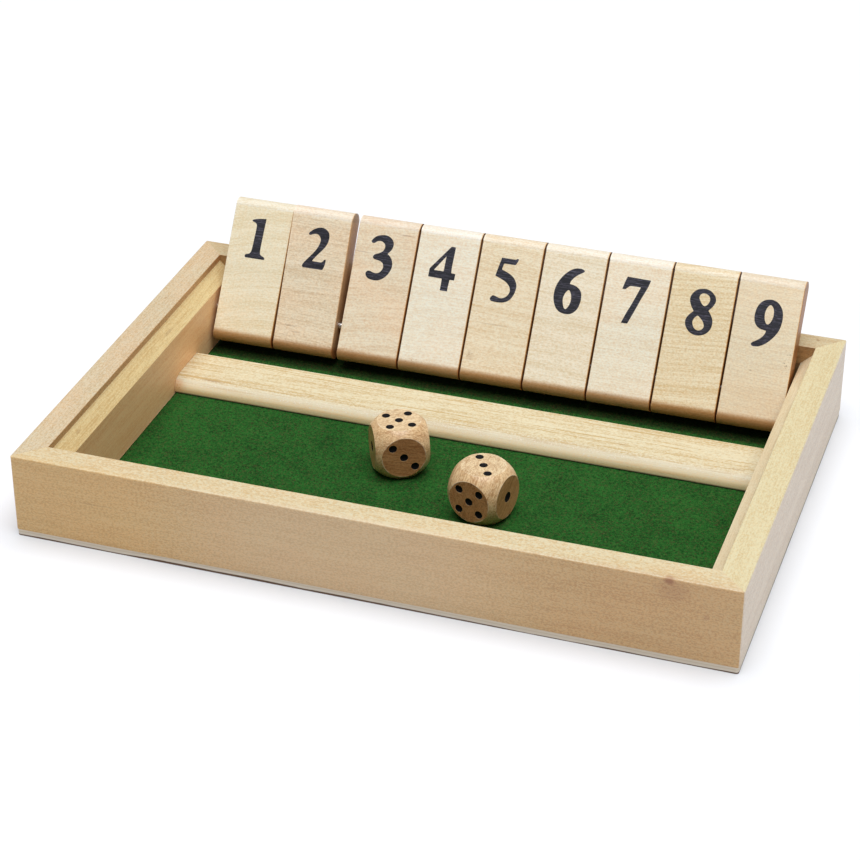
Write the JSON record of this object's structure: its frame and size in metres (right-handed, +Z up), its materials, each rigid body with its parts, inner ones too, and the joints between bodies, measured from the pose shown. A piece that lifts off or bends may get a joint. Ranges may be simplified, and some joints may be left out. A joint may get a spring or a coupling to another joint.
{
  "type": "shut the box game",
  "caption": "Wooden shut the box tray with felt floor, hinged number tiles on a steel rod, a divider they lie on when shut, and dice.",
  "frame": {"origin": "centre of the tray's underside", "axes": "+X to the right along the row of tiles, +Y from the open rolling side to the tiles' side, +Z up"},
  "size_m": [0.26, 0.1766, 0.0568],
  "materials": {
    "rail_maple": "satin",
    "cheek_maple": "satin",
    "tile_maple": "satin",
    "divider_maple": "satin",
    "die_wood": "satin lacquer, black pips",
    "plywood": "raw",
    "green_felt": "short nap",
    "bright_steel": "drawn"
  },
  "bodies": {
    "tray": {"base_panel": "plywood", "front_rail": "rail_maple", "back_rail": "rail_maple", "left_rail": "rail_maple", "right_rail": "rail_maple", "left_cheek": "cheek_maple", "right_cheek": "cheek_maple", "felt_lining": "green_felt", "divider": "divider_maple", "pivot_rod": "bright_steel", "base_pins": "bright_steel"},
    "tile_1": {"tile_1": "tile_maple"},
    "tile_2": {"tile_2": "tile_maple"},
    "tile_3": {"tile_3": "tile_maple"},
    "tile_4": {"tile_4": "tile_maple"},
    "tile_5": {"tile_5": "tile_maple"},
    "tile_6": {"tile_6": "tile_maple"},
    "tile_7": {"tile_7": "tile_maple"},
    "tile_8": {"tile_8": "tile_maple"},
    "tile_9": {"tile_9": "tile_maple"},
    "die_1": {"die_1": "die_wood"},
    "die_2": {"die_2": "die_wood"}
  },
  "joints": [
    {"name": "tile_1_flip", "type": "hinge", "parent": "tray", "child": "tile_1", "pos_m": [-0.10135, 0.0623, 0.0179], "axis": [1, 0, 0], "range_deg": [0, 129.8]},
    {"name": "tile_2_flip", "type": "hinge", "parent": "tray", "child": "tile_2", "pos_m": [-0.0762, 0.0623, 0.0179], "axis": [1, 0, 0], "range_deg": [-3.5, 126.3]},
    {"name": "tile_3_flip", "type": "hinge", "parent": "tray", "child": "tile_3", "pos_m": [-0.0494, 0.0623, 0.0179], "axis": [1, 0, 0], "range_deg": [0, 129.8]},
    {"name": "tile_4_flip", "type": "hinge", "parent": "tray", "child": "tile_4", "pos_m": [-0.02425, 0.0623, 0.0179], "axis": [1, 0, 0], "range_deg": [0, 129.8]},
    {"name": "tile_5_flip", "type": "hinge", "parent": "tray", "child": "tile_5", "pos_m": [0.0009, 0.0623, 0.0179], "axis": [1, 0, 0], "range_deg": [0, 129.8]},
    {"name": "tile_6_flip", "type": "hinge", "parent": "tray", "child": "tile_6", "pos_m": [0.02605, 0.0623, 0.0179], "axis": [1, 0, 0], "range_deg": [0, 129.8]},
    {"name": "tile_7_flip", "type": "hinge", "parent": "tray", "child": "tile_7", "pos_m": [0.0512, 0.0623, 0.0179], "axis": [1, 0, 0], "range_deg": [0, 129.8]},
    {"name": "tile_8_flip", "type": "hinge", "parent": "tray", "child": "tile_8", "pos_m": [0.07635, 0.0623, 0.0179], "axis": [1, 0, 0], "range_deg": [0, 129.8]},
    {"name": "tile_9_flip", "type": "hinge", "parent": "tray", "child": "tile_9", "pos_m": [0.1015, 0.0623, 0.0179], "axis": [1, 0, 0], "range_deg": [0, 129.8]},
    {"name": "die_1_lift", "type": "slide", "parent": "tray", "child": "die_1", "axis": [0, 0, 1], "range_m": [0, 0.06]},
    {"name": "die_2_lift", "type": "slide", "parent": "tray", "child": "die_2", "axis": [0, 0, 1], "range_m": [0, 0.06]}
  ]
}
